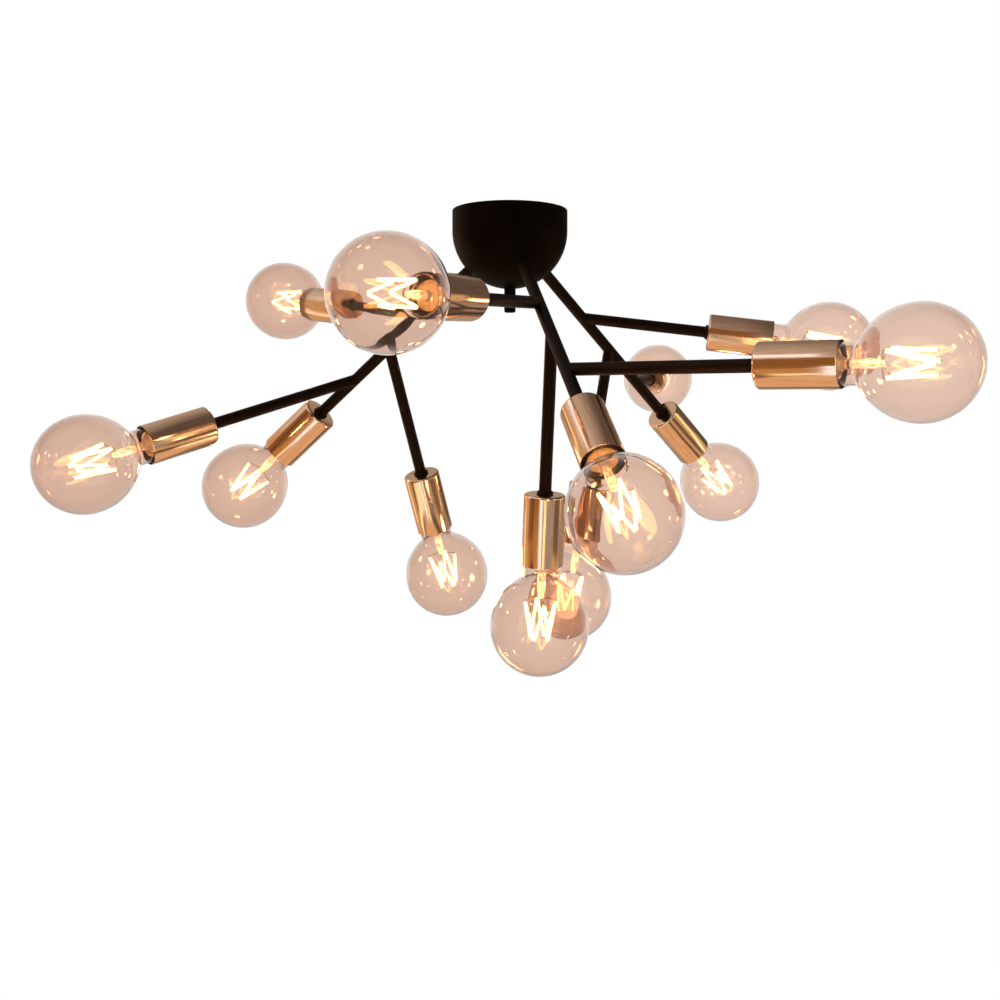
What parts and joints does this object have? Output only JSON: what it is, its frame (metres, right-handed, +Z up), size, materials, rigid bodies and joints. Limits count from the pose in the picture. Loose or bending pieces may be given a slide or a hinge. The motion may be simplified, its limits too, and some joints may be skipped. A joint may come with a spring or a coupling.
{
  "type": "branching ceiling light",
  "caption": "Ceiling light with a black bowl canopy and slanted tube arms that branch to globe lamps in brushed brass cups.",
  "frame": {"origin": "on the ceiling plane, on the canopy's axis", "axes": "+Z up into the ceiling; the ceiling bracket's slots lie along X; the picture is taken from the -Y side"},
  "size_m": [0.8409, 0.8463, 0.4679],
  "materials": {
    "black_coat": "matte black powder coat",
    "brushed_brass": "brushed along the cup and clear lacquered",
    "black_moulding": "moulded phenolic",
    "contact_brass": "pressed sheet",
    "nickel_cap": "nickel plated",
    "tinted_glass": "clear, faintly rose tinted",
    "filament_glow": "lit filaments on a glass stem",
    "zinc_steel": "zinc plated",
    "terminal_moulding": "moulded nylon"
  },
  "bodies": {
    "frame": {"canopy": "black_coat", "tube_collars": "black_coat", "ceiling_bracket": "zinc_steel", "centre_rod": "zinc_steel", "rod_lock_nut": "zinc_steel", "arm_washers": "zinc_steel", "arm_nuts": "zinc_steel", "terminal_block": "terminal_moulding", "arm_stem_1": "black_coat", "arm_branches_1": "black_coat", "brass_cups_1": "brushed_brass", "lampholders_1": "black_moulding", "holder_contacts_1": "contact_brass", "arm_stem_2": "black_coat", "arm_branches_2": "black_coat", "brass_cups_2": "brushed_brass", "lampholders_2": "black_moulding", "holder_contacts_2": "contact_brass", "arm_stem_3": "black_coat", "arm_branches_3": "black_coat", "brass_cups_3": "brushed_brass", "lampholders_3": "black_moulding", "holder_contacts_3": "contact_brass"},
    "finial": {"finial_nut": "black_coat"},
    "bulb_1a": {"bulb_1a_globe": "tinted_glass", "bulb_1a_cap": "nickel_cap", "bulb_1a_filament": "filament_glow"},
    "bulb_1b": {"bulb_1b_globe": "tinted_glass", "bulb_1b_cap": "nickel_cap", "bulb_1b_filament": "filament_glow"},
    "bulb_1c": {"bulb_1c_globe": "tinted_glass", "bulb_1c_cap": "nickel_cap", "bulb_1c_filament": "filament_glow"},
    "bulb_1d": {"bulb_1d_globe": "tinted_glass", "bulb_1d_cap": "nickel_cap", "bulb_1d_filament": "filament_glow"},
    "bulb_2a": {"bulb_2a_globe": "tinted_glass", "bulb_2a_cap": "nickel_cap", "bulb_2a_filament": "filament_glow"},
    "bulb_2b": {"bulb_2b_globe": "tinted_glass", "bulb_2b_cap": "nickel_cap", "bulb_2b_filament": "filament_glow"},
    "bulb_2c": {"bulb_2c_globe": "tinted_glass", "bulb_2c_cap": "nickel_cap", "bulb_2c_filament": "filament_glow"},
    "bulb_2d": {"bulb_2d_globe": "tinted_glass", "bulb_2d_cap": "nickel_cap", "bulb_2d_filament": "filament_glow"},
    "bulb_3a": {"bulb_3a_globe": "tinted_glass", "bulb_3a_cap": "nickel_cap", "bulb_3a_filament": "filament_glow"},
    "bulb_3b": {"bulb_3b_globe": "tinted_glass", "bulb_3b_cap": "nickel_cap", "bulb_3b_filament": "filament_glow"},
    "bulb_3c": {"bulb_3c_globe": "tinted_glass", "bulb_3c_cap": "nickel_cap", "bulb_3c_filament": "filament_glow"},
    "bulb_3d": {"bulb_3d_globe": "tinted_glass", "bulb_3d_cap": "nickel_cap", "bulb_3d_filament": "filament_glow"}
  },
  "joints": [
    {"name": "finial_unscrew", "type": "slide", "parent": "frame", "child": "finial", "axis": [0, 0, -1], "range_m": [0, 0.02]},
    {"name": "bulb_1a_unscrew", "type": "slide", "parent": "frame", "child": "bulb_1a", "axis": [-0.4527, -0.8892, -0.0663], "range_m": [0, 0.032]},
    {"name": "bulb_1b_unscrew", "type": "slide", "parent": "frame", "child": "bulb_1b", "axis": [-0.0369, 0.1288, -0.991], "range_m": [0, 0.032]},
    {"name": "bulb_1c_unscrew", "type": "slide", "parent": "frame", "child": "bulb_1c", "axis": [0.8676, -0.4972, -0.0063], "range_m": [0, 0.032]},
    {"name": "bulb_1d_unscrew", "type": "slide", "parent": "frame", "child": "bulb_1d", "axis": [0.2111, -0.7364, -0.6428], "range_m": [0, 0.032]},
    {"name": "bulb_2a_unscrew", "type": "slide", "parent": "frame", "child": "bulb_2a", "axis": [0.9807, -0.1501, -0.1254], "range_m": [0, 0.032]},
    {"name": "bulb_2b_unscrew", "type": "slide", "parent": "frame", "child": "bulb_2b", "axis": [-0.1601, -0.0074, -0.9871], "range_m": [0, 0.032]},
    {"name": "bulb_2c_unscrew", "type": "slide", "parent": "frame", "child": "bulb_2c", "axis": [0.2067, 0.9771, 0.0501], "range_m": [0, 0.032]},
    {"name": "bulb_2d_unscrew", "type": "slide", "parent": "frame", "child": "bulb_2d", "axis": [0.6037, 0.4716, -0.6428], "range_m": [0, 0.032]},
    {"name": "bulb_3a_unscrew", "type": "slide", "parent": "frame", "child": "bulb_3a", "axis": [-0.6878, 0.7135, 0.1337], "range_m": [0, 0.032]},
    {"name": "bulb_3b_unscrew", "type": "slide", "parent": "frame", "child": "bulb_3b", "axis": [0.2071, 0.3273, -0.9219], "range_m": [0, 0.032]},
    {"name": "bulb_3c_unscrew", "type": "slide", "parent": "frame", "child": "bulb_3c", "axis": [-0.7489, -0.599, -0.2835], "range_m": [0, 0.032]},
    {"name": "bulb_3d_unscrew", "type": "slide", "parent": "frame", "child": "bulb_3d", "axis": [-0.7152, 0.2745, -0.6428], "range_m": [0, 0.032]}
  ]
}
